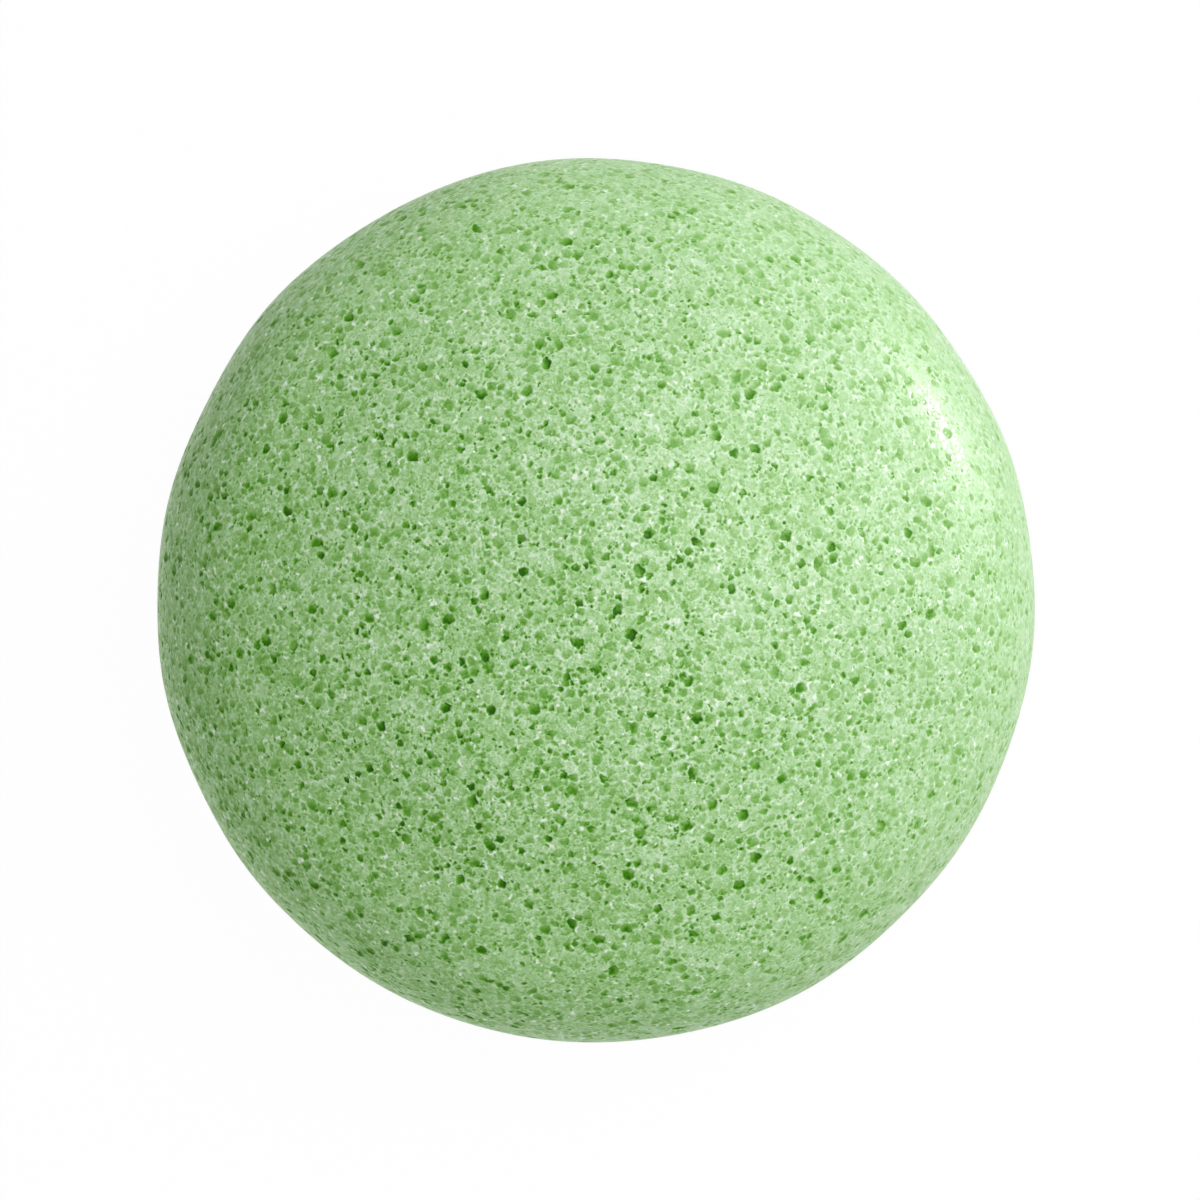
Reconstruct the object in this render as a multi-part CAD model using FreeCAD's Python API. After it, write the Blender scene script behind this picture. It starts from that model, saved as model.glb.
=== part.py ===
"""Konjac sponge: a half-ball facial puff moulded from one piece of konjac foam.

Millimetres, +Z up. The origin is the centre of the flat back, and +Z runs
through the top of the dome. The foam is one moulding. It is cut here at two
level planes into three zones that lie face to face, so that the puff can be
pressed flatter:

    sponge_base    the flat back and the lower part of the rounded edge
    sponge_middle  the flank, which gives way when the puff is pressed
    sponge_crown   the top of the dome, which comes down when it is pressed
"""

import FreeCAD
import Part

import math
import os

# Driving dimensions
DIAMETER = 80.0        # across the widest ring
HEIGHT = 30.0          # from the flat back to the top of the dome
EDGE_RADIUS = 8.0      # rounding between the flat back and the widest ring
BASE_DEPTH = 5.0       # from the flat back up to where the middle starts
CROWN_DEPTH = 10.0     # from the top of the dome down to where the middle ends

# Sizes that follow from them
WIDEST_RADIUS = DIAMETER / 2
FLAT_RADIUS = WIDEST_RADIUS - EDGE_RADIUS
DOME_RISE = HEIGHT - EDGE_RADIUS
CROWN_LEVEL = HEIGHT - CROWN_DEPTH

AXIS_DIRECTION = FreeCAD.Vector(0, 0, 1)
FULL_TURN = 360.0
QUARTER_TURN = math.radians(90)


def section_point(radius, level):
    """A point of the half section, which lies in the XZ plane."""
    return FreeCAD.Vector(radius, 0, level)


def section_line(start, end):
    return Part.LineSegment(start, end).toShape()


def section_arc(centre, radius, start, end):
    """An arc of the half section between two angles, counted from the X axis towards Z."""
    angles = (start, (start + end) / 2, end)
    points = [centre + section_point(radius * math.cos(a), radius * math.sin(a)) for a in angles]
    return Part.Arc(*points).toShape()


def edge_arc():
    """The rounded edge: a quarter circle from the flat back out to the widest ring."""
    centre = section_point(FLAT_RADIUS, EDGE_RADIUS)
    return section_arc(centre, EDGE_RADIUS, -QUARTER_TURN, 0)


def dome_arcs():
    """The dome's flank and crown: the pair of arcs that stands in for a quarter ellipse.

    Both centres lie on the line square to the chord from the widest ring to the
    top, so the arcs meet on it without a corner.
    """
    chord = math.hypot(WIDEST_RADIUS, DOME_RISE)
    offset = (chord - WIDEST_RADIUS + DOME_RISE) / 2
    flank_radius = offset * chord / WIDEST_RADIUS
    crown_radius = (chord - offset) * chord / DOME_RISE
    meeting = math.atan2(WIDEST_RADIUS, DOME_RISE)
    flank_centre = section_point(WIDEST_RADIUS - flank_radius, EDGE_RADIUS)
    crown_centre = section_point(0, HEIGHT - crown_radius)
    print(f"dome: flank radius {flank_radius:.2f} mm, crown radius {crown_radius:.2f} mm")
    return [
        section_arc(flank_centre, flank_radius, 0, meeting),
        section_arc(crown_centre, crown_radius, meeting, QUARTER_TURN),
    ]


def foam_body():
    """The whole moulding, turned about the Z axis from its half section."""
    foot = section_point(0, 0)
    back = section_line(foot, section_point(FLAT_RADIUS, 0))
    axis = section_line(section_point(0, HEIGHT), foot)
    outline = Part.Wire(Part.__sortEdges__([back, edge_arc(), *dome_arcs(), axis]))
    return Part.Face(outline).revolve(foot, AXIS_DIRECTION, FULL_TURN)


def zone(body, low, high):
    """The part of the body between two levels."""
    slab = Part.makeCylinder(DIAMETER, high - low, section_point(0, low), AXIS_DIRECTION)
    return body.common(slab).Solids[0]


def zones():
    """Every zone of the foam by name, from the flat back up."""
    body = foam_body()
    return {
        "sponge_base": zone(body, 0, BASE_DEPTH),
        "sponge_middle": zone(body, BASE_DEPTH, CROWN_LEVEL),
        "sponge_crown": zone(body, CROWN_LEVEL, HEIGHT),
    }


def main():
    os.makedirs("parts", exist_ok=True)
    for name, solid in zones().items():
        solid.exportStep(f"parts/{name}.step")
        print(f"{name}: {solid.Volume / 1000:.2f} cm3, centre at z {solid.CenterOfMass.z:.2f} mm")


main()
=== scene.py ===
# %% [markdown]
# # A damp konjac sponge
#
# A konjac sponge is a small half-ball of foam for washing the face. Konjac root starch is
# stirred with water, beaten full of bubbles, poured into a mould, set and frozen, so the whole
# thing is one piece: a domed front, a rounded edge and a flat back, with the same green all
# through. When it is damp it is soft, slightly see-through and shiny on every cell wall.
#
# There is little to model but a skin, so the skin has to be right. This lesson makes a smooth
# blank first, cuts real pores into it, and only then gives it colour and shine.

# %% Load the frame
import math

import bmesh
import bpy
import numpy as np
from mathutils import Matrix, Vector, kdtree


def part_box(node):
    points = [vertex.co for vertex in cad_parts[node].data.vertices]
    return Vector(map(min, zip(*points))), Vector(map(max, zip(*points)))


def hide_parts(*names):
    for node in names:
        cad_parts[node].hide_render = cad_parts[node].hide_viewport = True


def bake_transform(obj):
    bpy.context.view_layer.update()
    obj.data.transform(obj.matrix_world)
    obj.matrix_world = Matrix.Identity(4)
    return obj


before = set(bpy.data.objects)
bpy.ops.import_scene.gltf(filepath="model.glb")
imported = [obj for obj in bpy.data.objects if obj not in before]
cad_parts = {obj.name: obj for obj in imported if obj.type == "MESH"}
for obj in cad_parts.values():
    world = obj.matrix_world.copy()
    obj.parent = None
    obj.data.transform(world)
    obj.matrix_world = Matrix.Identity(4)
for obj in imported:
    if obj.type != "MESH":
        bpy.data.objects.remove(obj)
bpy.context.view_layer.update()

MM = 0.001
chance = np.random.default_rng(31)
print("frame nodes:", sorted(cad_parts))

# %% [markdown]
# ## The half section
#
# The sponge is round about the Z axis, so one half section describes it: a crown arc, a flank
# arc, the rounded edge and the flat back. Width and height come from the frame, and the two dome
# arcs are the pair that stands in for a quarter ellipse, as a draughtsman would draw it with a
# compass. The section is kept as points from the top of the dome to the middle of the back,
# because points are easy to look up by angle or by area later on.

# %% Half section from the top of the dome to the middle of the back
WIDEST_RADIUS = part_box("sponge_middle")[1].x
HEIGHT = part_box("sponge_crown")[1].z
EDGE_RADIUS = 8.0 * MM
SECTION_STEPS = 600


def section_arc(centre_radius, centre_level, radius, start, end):
    angle = np.linspace(start, end, SECTION_STEPS)
    return np.c_[centre_radius + radius * np.cos(angle), centre_level + radius * np.sin(angle)]


def half_section():
    rise = HEIGHT - EDGE_RADIUS
    chord = math.hypot(WIDEST_RADIUS, rise)
    offset = (chord - WIDEST_RADIUS + rise) / 2
    flank = offset * chord / WIDEST_RADIUS
    crown = (chord - offset) * chord / rise
    meeting = math.atan2(WIDEST_RADIUS, rise)
    flat = WIDEST_RADIUS - EDGE_RADIUS
    return np.concatenate([
        section_arc(0, HEIGHT - crown, crown, math.pi / 2, meeting),
        section_arc(WIDEST_RADIUS - flank, EDGE_RADIUS, flank, meeting, 0)[1:],
        section_arc(flat, EDGE_RADIUS, EDGE_RADIUS, 0, -math.pi / 2)[1:],
        np.c_[np.linspace(flat, 0, SECTION_STEPS), np.zeros(SECTION_STEPS)][1:],
    ])


section = half_section()
section_angle = np.arctan2(section[:, 0], section[:, 1] - EDGE_RADIUS)
tangent = np.gradient(section, axis=0)
tangent /= np.linalg.norm(tangent, axis=1)[:, None]
section_normal = np.c_[-tangent[:, 1], tangent[:, 0]]
step_length = np.linalg.norm(np.diff(section, axis=0), axis=1)
step_area = np.pi * (section[1:, 0] + section[:-1, 0]) * step_length
section_area = np.r_[0, np.cumsum(step_area)]
SKIN_AREA = section_area[-1]
print(f"skin of {SKIN_AREA / MM**2:.0f} mm2, half section of {step_length.sum() / MM:.1f} mm")

# %% [markdown]
# ## The blank
#
# A turned shape could be spun, but a spun mesh crowds into a star at its pole, and here the pole
# is the middle of the picture. An icosphere has even triangles everywhere, so it is the better
# start. Each of its rings is moved to the ring of the sponge that holds the same share of the
# skin, a few rounds of smoothing even the triangles out, and then every triangle is divided until
# a cell of the foam is several triangles wide. The dome gets the most triangles, the rounded edge
# fewer and the flat back fewest, because that is the order in which people see them.

# %% Blank: an icosphere drawn onto the half section
BLANK_STEPS = 5
CUTS = 18
RELAX_ROUNDS, RELAX_STEP = 24, 0.5
EDGE_WEIGHT = 0.55
BACK_WEIGHT = 0.22


def seat(points):
    """Puts points back on the half section, seen from mid ring. Gives places and normals."""
    radius = np.maximum(np.hypot(points[:, 0], points[:, 1]), 1e-12)
    outward = points[:, :2] / radius[:, None]
    angle = np.arctan2(radius, points[:, 2] - EDGE_RADIUS)
    columns = (*section.T, *section_normal.T)
    lookup = [np.interp(angle, section_angle, column) for column in columns]
    place = np.c_[outward * lookup[0][:, None], lookup[1]]
    normal = np.c_[outward * lookup[2][:, None], lookup[3]]
    return place, normal


def by_share(share, azimuth):
    """Points of the skin at a share of its area, counted from the top."""
    radius, level = (np.interp(share * SKIN_AREA, section_area, column) for column in section.T)
    return np.c_[radius * np.cos(azimuth), radius * np.sin(azimuth), level]


def places(bm):
    return np.array([v.co for v in bm.verts])


def set_places(bm, points):
    for vert, point in zip(bm.verts, points):
        vert.co = point


up_the_edge = section[1:, 1] / EDGE_RADIUS
weight = np.where(up_the_edge > 1, 1.0, BACK_WEIGHT + (EDGE_WEIGHT - BACK_WEIGHT) * up_the_edge)
weighted = np.r_[0, np.cumsum(weight * step_area)]
blank = bmesh.new()
bmesh.ops.create_icosphere(blank, subdivisions=BLANK_STEPS, radius=1.0)
ball = places(blank)
share = np.interp((1 - ball[:, 2]) / 2 * weighted[-1], weighted, section_area) / SKIN_AREA
set_places(blank, by_share(share, np.arctan2(ball[:, 1], ball[:, 0])))
for _ in range(RELAX_ROUNDS):
    bmesh.ops.smooth_vert(blank, verts=blank.verts, factor=RELAX_STEP,
                          use_axis_x=True, use_axis_y=True, use_axis_z=True)
    set_places(blank, seat(places(blank))[0])
bmesh.ops.subdivide_edges(blank, edges=blank.edges, cuts=CUTS, use_grid_fill=True)
mesh = bpy.data.meshes.new("konjac_sponge")
blank.to_mesh(mesh)
blank.free()
sponge = bpy.data.objects.new("konjac_sponge", mesh)
bpy.context.scene.collection.objects.link(sponge)
flat_places = np.empty(len(mesh.vertices) * 3)
mesh.vertices.foreach_get("co", flat_places)
skin, normal = seat(flat_places.reshape(-1, 3))
spacing = math.sqrt(2 * SKIN_AREA / len(mesh.polygons))
print(f"blank: {len(mesh.polygons)} triangles, about {spacing / MM:.3f} mm apart")

# %% [markdown]
# ## Uneven by nature
#
# A poured and frozen thing is never quite round. This one is about one per cent longer one way
# than the other, and its skin swells and dips by a fraction of a millimetre. A few plane waves in
# random directions add up to that kind of soft unevenness. The back keeps flat, since it rests on
# the table.

# %% Out of round and softly uneven
LONG_WAY = math.radians(94)
OUT_OF_ROUND = 0.0040
SWELL_LENGTH = 17.0 * MM
SWELL_HEIGHT = 0.07 * MM


def waves(points, length, count=24):
    """Soft unevenness with a spread of 1: plane waves of one length in random directions."""
    direction = chance.normal(size=(count, 3))
    direction /= np.linalg.norm(direction, axis=1)[:, None]
    turn = chance.uniform(0, 2 * np.pi, count)
    total = np.zeros(len(points))
    for way, start in zip(direction, turn):
        total += np.sin(points @ way * (2 * np.pi / length) + start)
    return total / math.sqrt(count / 2)


azimuth = np.arctan2(skin[:, 1], skin[:, 0])
off_the_back = np.clip(skin[:, 2] / EDGE_RADIUS, 0, 1)
stretch = 1 + OUT_OF_ROUND * np.cos(2 * (azimuth - LONG_WAY))
swell = SWELL_HEIGHT * waves(skin, SWELL_LENGTH) * off_the_back

# %% [markdown]
# ## The bubbles
#
# Beaten foam is packed with bubbles of every size, and its skin is simply where the mould cut
# through them. So the bubbles are made first: far too many are thrown into the outer millimetre of
# the sponge, the largest first, and each one that would crowd a larger one is dropped.

# %% Pack bubbles under the skin
BUBBLES_PER_MM3 = 130
BUBBLE_RADIUS = 0.16 * MM
BUBBLE_SPREAD = 0.46
SMALLEST, LARGEST = 0.08 * MM, 0.57 * MM
LAYER_DEPTH = 0.90 * MM
LAYER_ABOVE = 0.30 * MM
CLOSEST = 0.84


def tree_of(points):
    tree = kdtree.KDTree(len(points))
    for index, point in enumerate(points):
        tree.insert(point, index)
    tree.balance()
    return tree


thrown = int(BUBBLES_PER_MM3 * SKIN_AREA * (LAYER_DEPTH + LAYER_ABOVE) / MM**3)
radius = BUBBLE_RADIUS * np.exp(BUBBLE_SPREAD * chance.normal(size=thrown))
radius = -np.sort(-np.clip(radius, SMALLEST, LARGEST))
foot, upright = seat(by_share(chance.uniform(size=thrown), chance.uniform(0, 2 * np.pi, thrown)))
below = chance.uniform(-LAYER_ABOVE, LAYER_DEPTH, thrown)
centre = foot - upright * below[:, None]
tree = tree_of(centre)
kept = np.ones(thrown, bool)
for index in range(thrown):
    if kept[index]:
        own = radius[index]
        for _, other, distance in tree.find_range(centre[index], 2 * CLOSEST * own):
            if other > index and distance < CLOSEST * (own + radius[other]):
                kept[other] = False
radius, foot, upright, below = radius[kept], foot[kept], upright[kept], below[kept]
count = len(radius)
print(f"{count} bubbles of {thrown} kept, "
      f"radius {radius.min() / MM:.2f} to {radius.max() / MM:.2f} mm")

# %% [markdown]
# ## What became of each bubble
#
# A bubble that reaches through the skin is either open, and then it is a pit, or still closed by
# a film of gel, and then it only shows as a faint disc, or as a faint ring where the film is thin
# at its rim. Small bubbles break open more often than large ones. No bubble is quite round: each
# is drawn out one way, and its floor leans one way, mostly towards the bottom of the picture: that
# side of a pit is deeper and painted darker, as painted shade, and that side of a disc is painted
# darker too. A few carry a bead of water on the lip, painted white there as a glint.

# %% Choose what each bubble does
OPENINGS = [0.19 * MM, 0.24 * MM, 0.33 * MM, 0.43 * MM]
OPEN_CHANCES = [1.0, 0.66, 0.61, 0.22]
RING_SHARE, WINDOW_SHARE, BEAD_SHARE = 0.35, 0.6, 0.13
FAINTEST, DARKEST, FAINT_POWER = 0.18, 0.86, 1.3
FILM_TINT = 0.38
DRAWN_OUT = 0.45
# The lean paints each pit and disc darker on one side, mostly the picture's bottom: painted shade.
LEAN_TURN, LEAN_SPREAD = -math.pi / 2, 0.9


def along_skin(turn):
    """A direction in the skin at each bubble, for a turn about the upright axis."""
    way = np.c_[np.cos(turn), np.sin(turn), np.zeros(count)]
    way -= upright * (way * upright).sum(1)[:, None]
    return way / np.linalg.norm(way, axis=1)[:, None]


opening = np.sqrt(np.maximum(0, radius**2 - below**2))
is_open = chance.uniform(size=count) < np.interp(opening, OPENINGS, OPEN_CHANCES)
is_ring = chance.uniform(size=count) < RING_SHARE
is_window = chance.uniform(size=count) < WINDOW_SHARE
is_bead = chance.uniform(size=count) < BEAD_SHARE
darkness = FAINTEST + (DARKEST - FAINTEST) * chance.uniform(size=count) ** FAINT_POWER
film_tint = chance.uniform(0, FILM_TINT, count)
drawn = 1 + DRAWN_OUT * chance.uniform(size=count)
drawn_way = along_skin(chance.uniform(0, 2 * np.pi, count))
lean_way = along_skin(chance.normal(LEAN_TURN, LEAN_SPREAD, count))
lip_way = along_skin(chance.uniform(0, 2 * np.pi, count))
reaches = opening > 0
print(f"{reaches.sum()} bubbles reach the skin, {(is_open & reaches).sum()} of them are open")

# %% [markdown]
# ## Cutting them open
#
# Now every bubble works on the vertices of the skin near it. An open one sinks them, a closed one
# hardly dents them. Where the floor of a pit meets the next bubble, a window can lead on down,
# which gives the dark holes inside the larger pores, and a bubble just under whole skin shines
# through it. Pores could also be painted or faked with a bump, but then they would be gone at the
# edge and in a side view. Two more things are noted for the finish: the shade, which is painted
# shade in the pores, darker the deeper they go and darkest in the windows, and also the faint tint
# of the closed discs; and the lip on one side of each opening, painted pale, partly as a paler
# wall and partly as a painted glint. The bubbles that reach highest are cut first, so that a
# deeper one can tell whether it lies under a hole.

# %% Cut the skin
REACH_SHARE = 0.6
WOBBLE_LENGTH, WOBBLE_SIZE = 0.55 * MM, 0.055 * MM
RIM_WIDTH = 0.065 * MM
LEAN = 0.7
# Painted shade: a pore's floor is coloured a darker green the deeper it goes.
SHALLOW_GREEN, GREEN_DEPTH = 0.5, 0.5 * MM
STEEPEST = 1.1
RING_TINT, RING_WIDTH, RING_PLACE = 0.22, 0.12 * MM, 0.86
FILM_DENT = 0.012 * MM
WINDOW_WALL, WINDOW_SHADE, WINDOW_SINK = 0.08 * MM, 0.45, 0.25
UNDER_REACH, UNDER_TINT = 0.35 * MM, 0.10
# Lips are painted pale, partly a paler wall and partly a painted glint; beads are painted glints.
LIP_WIDTH, BEAD_WIDTH, BEAD_POWER = 0.15 * MM, 0.28 * MM, 10

wobble = np.c_[tuple(waves(skin, WOBBLE_LENGTH) for _ in range(3))] * WOBBLE_SIZE
skin_tree = tree_of(skin + wobble)
shade = [0.0] * len(skin)
sink = [0.0] * len(skin)
hole = [0.0] * len(skin)
lip = [0.0] * len(skin)
for index in np.argsort(below - REACH_SHARE * radius).tolist():
    own, down, wide = float(radius[index]), float(below[index]), float(opening[index])
    long = float(drawn[index])
    squash = 1 - 1 / long**2
    middle, way, lean = Vector(foot[index]), Vector(drawn_way[index]), Vector(lean_way[index])
    lip_side, lip_width, lip_power = Vector(lip_way[index]), LIP_WIDTH, 1
    if is_bead[index]:
        lip_width, lip_power = BEAD_WIDTH, BEAD_POWER
    for at, vertex, distance in skin_tree.find_range(middle, long * max(own, wide + lip_width)):
        offset = at - middle
        distance = math.sqrt(long * max(0.0, distance**2 - squash * offset.dot(way) ** 2))
        half = math.sqrt(max(0.0, own**2 - distance**2))
        if distance < wide:
            rim = min(1.0, (wide - distance) / RIM_WIDTH)
            rim *= rim * (3 - 2 * rim)
            # Painted shade: the tilt darkens and deepens the leaning side of each pit and disc.
            tilt = 1 + LEAN * offset.dot(lean) / wide
            if is_open[index]:
                # An open bubble: the pore is cut, and painted darker by depth as painted shade.
                floor = darkness[index] * rim * tilt
                deep = min(1.0, (down + half) / GREEN_DEPTH)
                green = floor * (SHALLOW_GREEN + (1 - SHALLOW_GREEN) * deep)
                shade[vertex] = max(shade[vertex], green)
                sink[vertex] = max(sink[vertex], min(floor * (down + half), STEEPEST * wide))
                hole[vertex] = max(hole[vertex], rim)
            elif hole[vertex] == 0.0:
                tint = film_tint[index] * rim
                if is_ring[index]:
                    tint = RING_TINT * max(0.0, 1 - abs(distance - RING_PLACE * wide) / RING_WIDTH)
                shade[vertex] = max(shade[vertex], tint * tilt)
                sink[vertex] = max(sink[vertex], FILM_DENT * rim)
            continue
        # Lip: a pale arc by the opening, partly paler wall, partly painted glint; beads, white
        # glints.
        if 0 < wide and distance < wide + lip_width:
            bell = (1.0 + is_bead[index]) * (1 - abs(2 * (distance - wide) / lip_width - 1))
            side = (1 + offset.dot(lip_side) / distance) / 2
            lip[vertex] = max(lip[vertex], bell * side**lip_power)
        if half > 0 and hole[vertex] > 0.5:
            # A window deepens the pore and paints it darker, as painted shade.
            if is_window[index] and down - half < sink[vertex] + WINDOW_WALL:
                gap = min(1.0, (own - distance) / RIM_WIDTH)
                shade[vertex] = min(1.0, shade[vertex] + WINDOW_SHADE * gap)
                sink[vertex] += WINDOW_SINK * gap * half
        elif half > 0 and wide == 0 and hole[vertex] == 0.0 and down - half < UNDER_REACH:
            near = 1 - max(0.0, down - half) / UNDER_REACH
            shade[vertex] += UNDER_TINT * near * half / own
shade, sink, hole, lip = (np.array(values) for values in (shade, sink, hole, lip))
lip *= hole == 0
print(f"holes over {np.mean(hole > 0.5):.3f} of the vertices, "
      f"sunk {sink.max() / MM:.2f} mm at most")
print("shade at 25, 50, 75 and 95 per cent:", np.percentile(shade, [25, 50, 75, 95]).round(3))

# %% [markdown]
# ## Moving the skin
#
# The vertices go down by only part of what was cut, and the rest of each pore's depth is left to
# the painted shade. Round the widest ring the mould rubs the skin smooth, so everything is calmer
# there. The cells are also painted fainter and cut shallower on the side towards the lamps, and
# stronger and deeper on the side away from them: painted light. What the finish needs stays on the
# mesh as attributes.

# %% Move the skin and keep what the finish needs
RELIEF = 0.38
CALM_LEVELS = [2 * MM, 8 * MM, 18 * MM, 30 * MM]
CALM_SHARES = [1.0, 0.51, 0.66, 1.0]
# Painted light: the cells are calmer on the side towards the lamps, stronger away from them.
LIGHT_SKEW, AWAY_FROM_LIGHT = 0.33, np.array([-0.88, -0.47, 0.0])

calm_and_light_skew = np.interp(skin[:, 2], CALM_LEVELS, CALM_SHARES) * (1 + LIGHT_SKEW * normal @ AWAY_FROM_LIGHT)
placed = skin + normal * (swell - RELIEF * calm_and_light_skew * sink)[:, None]
placed[:, :2] *= stretch[:, None]
mesh.vertices.foreach_set("co", placed.ravel())
mesh.polygons.foreach_set("use_smooth", np.ones(len(mesh.polygons), bool))
mesh.update()
for name, values in {"shade": calm_and_light_skew * shade, "lip": lip, "calm_and_light_skew": calm_and_light_skew}.items():
    mesh.attributes.new(name, "FLOAT", "POINT").data.foreach_set("value", values)
print(f"deepest pore {(RELIEF * calm_and_light_skew * sink).max() / MM:.2f} mm, attributes shade, lip and calm")

# %% [markdown]
# ## A map of the skin
#
# The finish below needs no map, but a model that is carried to another program has its finish
# baked into a picture, and that picture needs one. The dome and the underside are each laid out
# from a disc into a rectangle, so that hardly any of the picture is wasted.

# %% Map: dome above, underside below
MAP_SPLIT = 0.42
MAP_MARGIN = 0.004


def disc_to_square(across, up):
    """Spreads a disc of radius 1 evenly over a square from -1 to 1."""
    radius = np.hypot(across, up)
    turn = np.arctan2(up, across)
    quarter = np.round(turn / (np.pi / 2))
    slant = (turn - quarter * np.pi / 2) / (np.pi / 4)
    a, b = radius, radius * slant
    cosine, sine = np.cos(quarter * np.pi / 2), np.sin(quarter * np.pi / 2)
    return a * cosine - b * sine, a * sine + b * cosine


ring_area = np.interp(0, -section_normal[:, 1], section_area)
corner = np.empty(len(mesh.loops), np.int32)
mesh.loops.foreach_get("vertex_index", corner)
skin_angle = np.arctan2(np.hypot(skin[:, 0], skin[:, 1]), skin[:, 2] - EDGE_RADIUS)
area_above = np.interp(skin_angle, section_angle, section_area)
corner_area = area_above[corner].reshape(-1, 3)
on_dome = np.repeat(corner_area.mean(1) < ring_area, 3)
corner_area = corner_area.ravel()
share_above = corner_area / ring_area
share_below = (SKIN_AREA - corner_area) / (SKIN_AREA - ring_area)
spread = np.sqrt(np.where(on_dome, share_above, share_below))
across, up = disc_to_square(spread * np.cos(azimuth[corner]), spread * np.sin(azimuth[corner]))
low = np.where(on_dome, MAP_SPLIT, 0) + MAP_MARGIN
high = np.where(on_dome, 1, MAP_SPLIT) - MAP_MARGIN
u = MAP_MARGIN + (1 - 2 * MAP_MARGIN) * (across + 1) / 2
v = low + (high - low) * (up + 1) / 2
mesh.uv_layers.new(name="OFBake").data.foreach_set("uv", np.c_[u, v].ravel())
print(f"map: {on_dome.mean():.2f} of the corners on the dome, v {v.min():.3f} to {v.max():.3f}")

# %% [markdown]
# ## Two helpers for the finishes
#
# Colours are written as the hex values people know, and Blender wants them linear, so one function
# turns them. The other adds a node, sets it up and links it, so that a finish reads as a list.

# %% Colour and node helpers
def linear(hex_colour):
    """An sRGB hex value as linear red, green, blue and alpha."""
    parts = [int(hex_colour[i:i + 2], 16) / 255 for i in (1, 3, 5)]
    return [c / 12.92 if c <= 0.04045 else ((c + 0.055) / 1.055) ** 2.4 for c in parts] + [1.0]


def add(tree, kind, links=(), **settings):
    """Adds a node. settings are its own properties, links its inputs with a value or a socket."""
    made = tree.nodes.new(kind)
    for name, value in settings.items():
        setattr(made, name, value)
    for name, value in dict(links).items():
        if isinstance(value, bpy.types.NodeSocket):
            tree.links.new(value, made.inputs[name])
        else:
            made.inputs[name].default_value = value
    return made


print("green of the gel in linear light:", [round(c, 3) for c in linear("#A8D592")])

# %% [markdown]
# ## The tone of the gel
#
# Konjac gel is a water gel. Light goes a little way in and comes back greener, so thin cell walls
# look pale, and the floor of a pore is painted a deep, clean green as painted shade. That is one
# scale from dark to pale, and every cause moves a point along it: soft clouds, the faces of cells
# too small to be cut, the walls between them, the lips, partly painted glints, the beads, painted
# glints, and most of all the painted shade of the bubbles. The side towards the lamps is also
# painted paler, as painted light.

# %% Tone
BASE_TONE = 0.715
LIT_SIDE_PALE = 0.075
RIM_TONE = 0.04
CLOUDS = [(0.45 * MM, 2.0, 0.22), (0.20 * MM, 1.0, 0.32), (2.2 * MM, 2.0, 0.22)]
FACES = [(0.38 * MM, 0.15), (0.75 * MM, 0.17)]
BEND_LENGTH, BEND = 0.45 * MM, 0.40 * MM
WALL, WALL_TONE, RIDGE = 0.10, 0.07, 0.15
PATCH_LENGTH, PATCH_FROM, PATCH_TO = 0.9 * MM, 0.53, 0.65
# Lips are painted paler, partly as wall and partly as glint; beads are painted near white, as
# glints.
LIP_PALE_AND_GLINT, BEAD_GLINT = 0.20, 0.45
BEAD_FROM, BEAD_TO = 1.0, 1.8

gel = bpy.data.materials.new("damp_konjac_gel")
gel.use_nodes = True
tree = gel.node_tree
tree.nodes.clear()
where = add(tree, "ShaderNodeTexCoord").outputs["Object"]
kept_on_mesh = {name: add(tree, "ShaderNodeAttribute", attribute_name=name).outputs["Fac"]
                for name in ("shade", "lip", "calm_and_light_skew")}
drift = add(tree, "ShaderNodeTexNoise", {"Vector": where, "Scale": 1 / BEND_LENGTH, "Detail": 1.0})
bent = add(tree, "ShaderNodeVectorMath", {0: drift.outputs["Color"], 1: [BEND] * 3, 2: where},
           operation="MULTIPLY_ADD").outputs[0]
bead = add(tree, "ShaderNodeMapRange", {"Value": kept_on_mesh["lip"],
                                        "From Min": BEAD_FROM, "From Max": BEAD_TO})
# Painted glints: the lips partly and the beads wholly brighten the tone.
causes = [(kept_on_mesh["lip"], LIP_PALE_AND_GLINT), (bead.outputs["Result"], BEAD_GLINT)]
middle_tone = -RIM_TONE
for size, detail, share in CLOUDS:
    cloud = add(tree, "ShaderNodeTexNoise", {"Vector": where, "Scale": 1 / size, "Detail": detail})
    causes.append((cloud.outputs["Fac"], share))
    middle_tone += share / 2
for size, share in FACES:
    face = add(tree, "ShaderNodeTexVoronoi", {"Vector": bent, "Scale": 1 / size})
    causes.append((face.outputs["Color"], share))
    middle_tone += share / 2
wall = add(tree, "ShaderNodeTexVoronoi", {"Vector": bent, "Scale": 1 / FACES[-1][0]},
           feature="DISTANCE_TO_EDGE")
patch = add(tree, "ShaderNodeTexNoise", {"Vector": where, "Scale": 1 / PATCH_LENGTH, "Detail": 1.0})
shown = add(tree, "ShaderNodeMapRange", {"Value": patch.outputs["Fac"],
                                         "From Min": PATCH_FROM, "From Max": PATCH_TO})
line = add(tree, "ShaderNodeMapRange", {
    "Value": wall.outputs["Distance"], "From Max": WALL,
    "To Min": shown.outputs["Result"], "To Max": 0.0,
}, interpolation_type="SMOOTHSTEP")
causes.append((line.outputs["Result"], WALL_TONE))
tone = -middle_tone
for cause, share in causes:
    tone = add(tree, "ShaderNodeMath", {0: cause, 1: share, 2: tone},
               operation="MULTIPLY_ADD").outputs[0]
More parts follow.
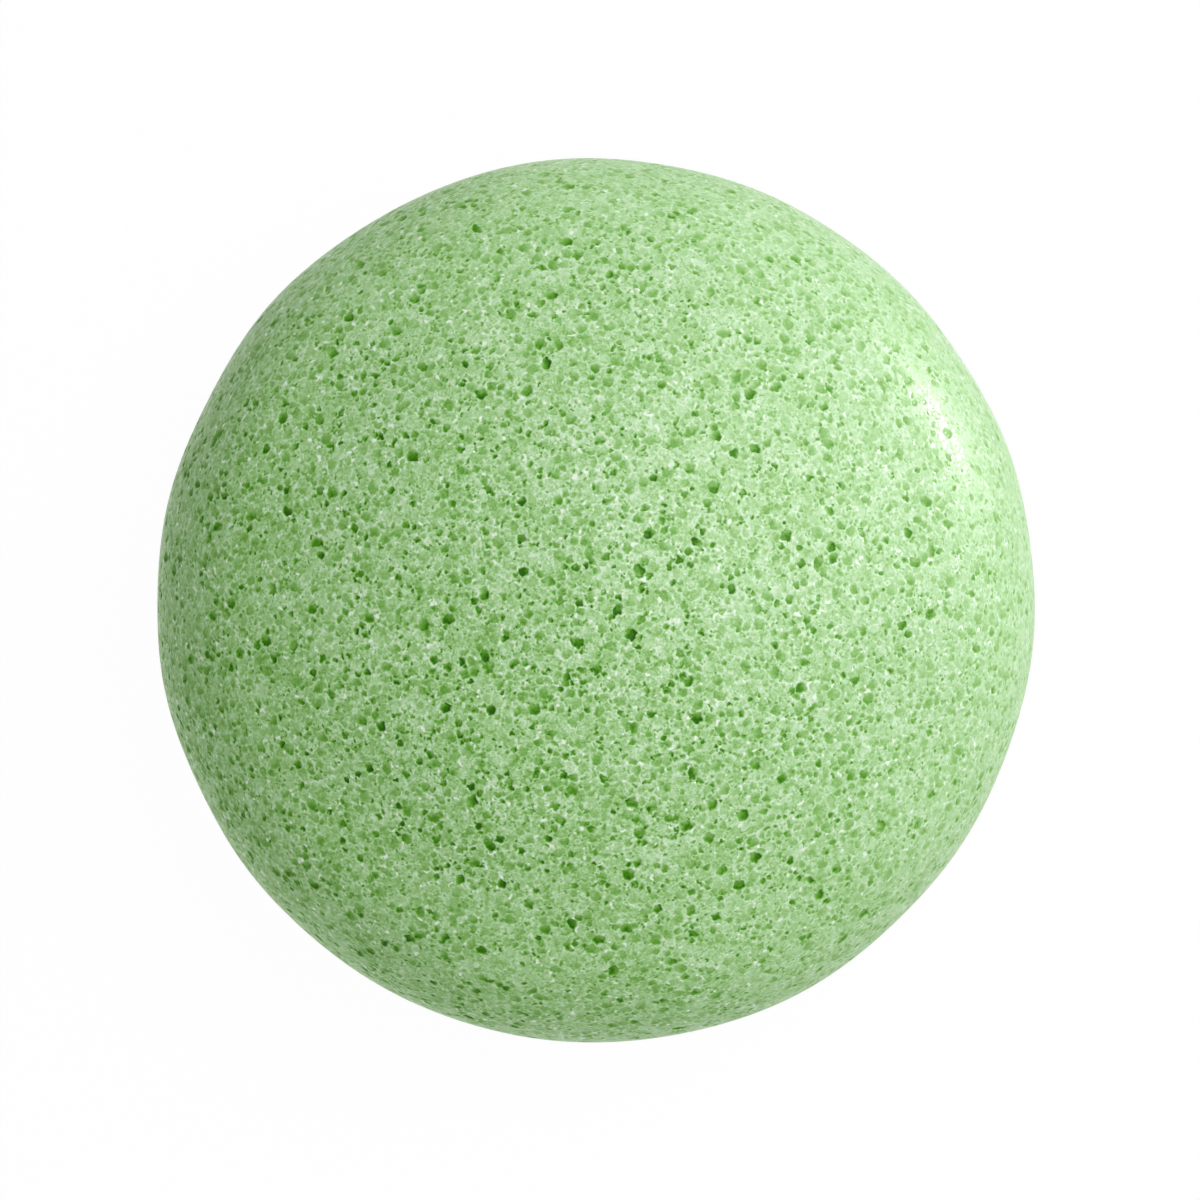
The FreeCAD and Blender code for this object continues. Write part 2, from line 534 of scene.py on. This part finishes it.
# Painted light: the skin is painted paler towards the lamps.
painted_lit_side = add(tree, "ShaderNodeVectorMath", {0: where, 1: -LIT_SIDE_PALE / WIDEST_RADIUS * AWAY_FROM_LIGHT},
            operation="DOT_PRODUCT").outputs["Value"]
level = add(tree, "ShaderNodeMath", {0: painted_lit_side, 1: BASE_TONE - RIM_TONE}, operation="ADD").outputs[0]
tone = add(tree, "ShaderNodeMath", {0: tone, 1: kept_on_mesh["calm_and_light_skew"], 2: level},
           operation="MULTIPLY_ADD").outputs[0]
# The painted shade of the pores, with the tint of the closed discs, darkens the tone.
tone = add(tree, "ShaderNodeMath", {0: kept_on_mesh["shade"], 1: -BASE_TONE, 2: tone},
           operation="MULTIPLY_ADD").outputs[0]
print(f"tone: {len(causes)} causes about a base of {BASE_TONE}")

# %% [markdown]
# ## Colour and shine
#
# A ramp turns the tone into colour. The damp skin shines twice: softly from the grainy gel and
# sharply from the water on it, which lies smooth on the faces of the cells, bends over their walls
# and so breaks into glints. Inside a pore there is less water, which keeps the dark greens clean.

# %% Colour and shine
# The top stops, near white, are mostly reached by the beads' painted glints.
TONE_STOPS = {0.0: "#2A6402", 0.2: "#468A0C", 0.36: "#67A437", 0.55: "#8EC26D", 0.65: "#A4D28B",
              0.74: "#B7E0A5", 0.87: "#D6F1CD", 0.98: "#E6F9DF", 1.0: "#F3FFEF"}
GLOSS = 0.11
WATER, WATER_IN_PORES, PORE_FROM, PORE_TO = 0.26, 0.05, 0.12, 0.45
GRAIN, GRAIN_HEIGHT = 0.22 * MM, 0.05 * MM
RIDGE_HEIGHT = 0.12 * MM

ramp = add(tree, "ShaderNodeValToRGB", {"Fac": tone})
while len(ramp.color_ramp.elements) < len(TONE_STOPS):
    ramp.color_ramp.elements.new(1.0)
for element, (position, colour) in zip(ramp.color_ramp.elements, TONE_STOPS.items()):
    element.position = position
    element.color = linear(colour)
grain = add(tree, "ShaderNodeTexNoise", {"Vector": where, "Scale": 1 / GRAIN, "Detail": 2.0})
grainy = add(tree, "ShaderNodeBump", {"Height": grain.outputs["Fac"], "Strength": 0.5,
                                      "Distance": GRAIN_HEIGHT})
ridge = add(tree, "ShaderNodeMapRange", {
    "Value": wall.outputs["Distance"], "From Max": RIDGE, "To Min": 1.0, "To Max": 0.0,
}, interpolation_type="SMOOTHSTEP")
height = add(tree, "ShaderNodeMath", {0: ridge.outputs["Result"], 1: bead.outputs["Result"]},
             operation="ADD")
ridged = add(tree, "ShaderNodeBump", {"Height": height.outputs[0], "Strength": 1.0,
                                      "Distance": RIDGE_HEIGHT})
film = add(tree, "ShaderNodeMapRange", {
    "Value": kept_on_mesh["shade"], "From Min": PORE_FROM, "From Max": PORE_TO,
    "To Min": WATER, "To Max": WATER_IN_PORES,
})
water = add(tree, "ShaderNodeMath", {0: film.outputs["Result"], 1: bead.outputs["Result"]},
            operation="MAXIMUM")
skin_shader = add(tree, "ShaderNodeBsdfPrincipled", {
    "Base Color": ramp.outputs["Color"], "Normal": grainy.outputs["Normal"],
    "Roughness": 0.45, "IOR": 1.45, "Specular IOR Level": GLOSS,
    "Coat Weight": water.outputs[0], "Coat Normal": ridged.outputs["Normal"],
    "Coat Roughness": 0.13, "Coat IOR": 1.33,
})
add(tree, "ShaderNodeOutputMaterial", {"Surface": skin_shader.outputs["BSDF"]})
mesh.materials.append(gel)
print(f"finish {gel.name}: {len(tree.nodes)} nodes")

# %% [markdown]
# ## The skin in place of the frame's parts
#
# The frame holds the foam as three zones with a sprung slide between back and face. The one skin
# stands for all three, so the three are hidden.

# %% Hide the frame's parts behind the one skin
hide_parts("sponge_base", "sponge_middle", "sponge_crown")
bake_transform(sponge)

# %% [markdown]
# ## White paper
#
# The sponge lies on white paper in a white room. Lamps strong enough to burn paper out would burn
# out the sponge as well, so the paper is plain matt white for the light that bounces off it, and
# nearly pure white where it is looked at, straight or in a reflection. What is left of the matt
# white keeps a trace of the shadow.

# %% Floor
FLOOR_RADIUS = 2.0
PAPER_SHOWN = 0.98

floor_bm = bmesh.new()
bmesh.ops.create_circle(floor_bm, cap_ends=True, segments=96, radius=FLOOR_RADIUS)
floor_mesh = bpy.data.meshes.new("floor")
floor_bm.to_mesh(floor_mesh)
floor_bm.free()
floor = bpy.data.objects.new("floor", floor_mesh)
bpy.context.scene.collection.objects.link(floor)


def looked_at(tree):
    """1 for a ray that shows what it meets: straight, in a reflection or through glass."""
    ray = add(tree, "ShaderNodeLightPath").outputs
    straight = add(tree, "ShaderNodeMath", {0: ray["Is Camera Ray"], 1: ray["Is Glossy Ray"]},
                   operation="MAXIMUM")
    return add(tree, "ShaderNodeMath", {0: straight.outputs[0], 1: ray["Is Transmission Ray"]},
               operation="MAXIMUM").outputs[0]


paper = bpy.data.materials.new("white_paper")
paper.use_nodes = True
tree = paper.node_tree
tree.nodes.clear()
seen = looked_at(tree)
shown = add(tree, "ShaderNodeMath", {0: seen, 1: PAPER_SHOWN}, operation="MULTIPLY")
matt = add(tree, "ShaderNodeBsdfDiffuse", {"Color": linear("#F4F4F4")})
white = add(tree, "ShaderNodeEmission", {"Color": linear("#FFFFFF"), "Strength": 1.0})
mixed = add(tree, "ShaderNodeMixShader", {0: shown.outputs[0], 1: matt.outputs[0],
                                          2: white.outputs[0]})
add(tree, "ShaderNodeOutputMaterial", {"Surface": mixed.outputs[0]})
floor_mesh.materials.append(paper)
print(f"floor {2 * FLOOR_RADIUS:.0f} m across, finish {paper.name}")

# %% [markdown]
# ## Light
#
# A large soft lamp at the upper right does most of the work, a weak one at the lower left opens
# up the shadow side, and the white room lights the rest. Wet things also need something to
# reflect, so three lamps are seen only in the shine: a wide one overhead for the milky veil, a long
# low one for the flank, and a small one for the broken white spot near the edge.

# %% Light
ROOM_LIGHT = 0.305


def lamp(name, azimuth, elevation, distance, size, power):
    """An area lamp that looks at the sponge. Azimuth runs from the picture's right to its top."""
    data = bpy.data.lights.new(name, "AREA")
    data.shape = "RECTANGLE"
    data.size, data.size_y = size
    data.energy = power
    made = bpy.data.objects.new(name, data)
    bpy.context.scene.collection.objects.link(made)
    a, e = math.radians(azimuth), math.radians(elevation)
    way = Vector((math.cos(a) * math.cos(e), math.sin(a) * math.cos(e), math.sin(e)))
    target = Vector((0, 0, HEIGHT / 2))
    made.location = target + way * distance
    made.rotation_euler = (-way).to_track_quat("-Z", "Y").to_euler()
    return made


lamp("key", azimuth=28, elevation=49, distance=0.8, size=(0.6, 0.6), power=5.2)
lamp("fill", azimuth=238, elevation=8, distance=0.8, size=(0.5, 0.3), power=1.0)
shine = [
    lamp("veil", azimuth=30, elevation=62, distance=0.8, size=(0.7, 0.7), power=6.0),
    lamp("sheen", azimuth=30, elevation=14, distance=0.8, size=(0.9, 0.3), power=0.6),
    lamp("strip", azimuth=26, elevation=4, distance=0.5, size=(0.05, 0.095), power=6.2),
]
for made in shine:
    made.visible_diffuse = False

sky = bpy.data.worlds.new("white_room")
bpy.context.scene.world = sky
sky.use_nodes = True
tree = sky.node_tree
tree.nodes.clear()
strength = add(tree, "ShaderNodeMapRange", {"Value": looked_at(tree),
                                            "To Min": ROOM_LIGHT, "To Max": 1.0})
room = add(tree, "ShaderNodeBackground", {"Color": linear("#FFFFFF"),
                                          "Strength": strength.outputs["Result"]})
add(tree, "ShaderNodeOutputWorld", {"Surface": room.outputs[0]})

# %% [markdown]
# ## Camera
#
# The picture is taken from straight above the dome. The outline that a camera sees lies a little
# above the widest ring, so the frame's width is measured at that level, and the lens follows from
# it and from the distance.

# %% Camera
FRAME_WIDTH = 108.85 * MM
CAMERA_DISTANCE = 450 * MM
OUTLINE_LEVEL = EDGE_RADIUS + 1.3 * MM
AIM = (0.40 * MM, 0.10 * MM)

camera_data = bpy.data.cameras.new("camera")
camera_data.lens = camera_data.sensor_width * CAMERA_DISTANCE / FRAME_WIDTH
camera = bpy.data.objects.new("camera", camera_data)
camera.location = (*AIM, OUTLINE_LEVEL + CAMERA_DISTANCE)
bpy.context.scene.collection.objects.link(camera)
bpy.context.scene.camera = camera
bpy.context.scene.view_settings.view_transform = "Standard"
print(f"camera {CAMERA_DISTANCE / MM:.0f} mm above the outline, lens {camera_data.lens:.0f} mm")
